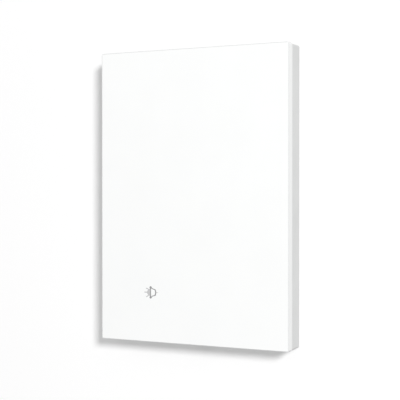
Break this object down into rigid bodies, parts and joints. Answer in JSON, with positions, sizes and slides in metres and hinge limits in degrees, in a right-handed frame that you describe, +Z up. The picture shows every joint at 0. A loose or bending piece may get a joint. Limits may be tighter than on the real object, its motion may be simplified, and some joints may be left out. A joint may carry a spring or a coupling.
{
  "type": "touch doorbell panel",
  "caption": "Flush-fronted wall doorbell panel: plain white touch plate with a small bell sign on a shallow case that hangs on a steel wall bracket.",
  "frame": {"origin": "middle of the wall bracket's back face, where its two pairs of screw slots cross, on the wall plane", "axes": "+Z up, +X to the right as seen from the front, +Y into the wall; the front face looks along -Y"},
  "size_m": [0.085, 0.012, 0.12],
  "materials": {
    "pane": "opal white, satin-gloss plate",
    "sign_print": "grey print",
    "tape": "grey foam tape",
    "foil": "amber sensing foil",
    "carrier": "moulded, fine texture",
    "board": "green solder mask",
    "diffuser": "milky plug",
    "led": "pale resin",
    "shroud": "black moulding",
    "chip": "black moulded package",
    "can_metal": "tinned can",
    "radio_board": "black solder mask",
    "ferrite": "pressed ferrite",
    "fuse_body": "green coated body",
    "ceramic": "dark blue coated ceramic",
    "sounder_body": "black moulding",
    "capacitor_body": "ochre moulded body",
    "passive_body": "brown ceramic",
    "button_plastic": "acetal, natural",
    "spring_steel": "drawn wire",
    "brass": "turned brass",
    "contact_bronze": "stamped leaf",
    "zinc_steel": "zinc plated",
    "dark_steel": "black oxide",
    "shell_plastic": "moulded, fine spark texture",
    "label_film": "blank silver-grey film",
    "bracket_steel": "galvanised sheet"
  },
  "bodies": {
    "bracket": {"wall_bracket": "bracket_steel"},
    "case": {"front_pane": "pane", "sign_inlay": "sign_print", "bond_tape": "tape", "touch_foil": "foil", "front_carrier": "carrier", "main_board": "board", "light_diffuser": "diffuser", "sign_leds": "led", "light_shroud": "shroud", "touch_controller": "chip", "clock_crystal": "can_metal", "radio_module": "radio_board", "bridge_rectifier": "chip", "power_inductor": "ferrite", "voltage_regulator": "chip", "chime_switch": "chip", "resettable_fuse": "fuse_body", "surge_absorber": "ceramic", "sounder": "sounder_body", "tamper_switch": "chip", "radio_shield": "can_metal", "power_capacitors": "capacitor_body", "small_passives": "passive_body", "pairing_switch": "chip", "tamper_spring": "spring_steel", "terminal_inserts": "brass", "terminal_contacts": "contact_bronze", "rear_shell": "shell_plastic", "case_screws": "dark_steel", "rating_label": "label_film"},
    "lock_run": {"lock_washer": "zinc_steel"},
    "lock_turn": {"lock_screw": "dark_steel"},
    "left_terminal_run": {"terminal_washer_left": "zinc_steel"},
    "left_terminal_turn": {"terminal_screw_left": "zinc_steel"},
    "right_terminal_run": {"terminal_washer_right": "zinc_steel"},
    "right_terminal_turn": {"terminal_screw_right": "zinc_steel"},
    "tamper": {"tamper_plunger": "button_plastic"},
    "pairing": {"pairing_button": "button_plastic"}
  },
  "joints": [
    {"name": "panel_lift", "type": "slide", "parent": "bracket", "child": "case", "axis": [0, 0, 1], "range_m": [0, 0.0035]},
    {"name": "lock_screw_run", "type": "slide", "parent": "case", "child": "lock_run", "axis": [0, 0, -1], "range_m": [0, 0.0045]},
    {"name": "lock_screw_turn", "type": "hinge", "parent": "lock_run", "child": "lock_turn", "pos_m": [0, -0.0029, -0.058], "axis": [0, 0, -1], "range_deg": [0, 3600]},
    {"name": "left_terminal_run", "type": "slide", "parent": "case", "child": "left_terminal_run", "axis": [0, 1, 0], "range_m": [0, 0.002]},
    {"name": "left_terminal_turn", "type": "hinge", "parent": "left_terminal_run", "child": "left_terminal_turn", "pos_m": [-0.0075, -0.0024, -0.01], "axis": [0, 1, 0], "range_deg": [0, 1440]},
    {"name": "right_terminal_run", "type": "slide", "parent": "case", "child": "right_terminal_run", "axis": [0, 1, 0], "range_m": [0, 0.002]},
    {"name": "right_terminal_turn", "type": "hinge", "parent": "right_terminal_run", "child": "right_terminal_turn", "pos_m": [0.0075, -0.0024, -0.01], "axis": [0, 1, 0], "range_deg": [0, 1440]},
    {"name": "tamper_plunge", "type": "slide", "parent": "case", "child": "tamper", "axis": [0, 1, 0], "range_m": [0, 0.0012], "stiffness_N_per_m": 150, "deforming": ["tamper_spring"]},
    {"name": "pairing_press", "type": "slide", "parent": "case", "child": "pairing", "axis": [0, 0, 1], "range_m": [0, 0.0003], "stiffness_N_per_m": 300}
  ],
  "couplings": [
    {"joint": "lock_screw_turn", "follows": "lock_screw_run", "rad_per_m": 13963},
    {"joint": "left_terminal_turn", "follows": "left_terminal_run", "rad_per_m": 12566},
    {"joint": "right_terminal_turn", "follows": "right_terminal_run", "rad_per_m": 12566}
  ]
}
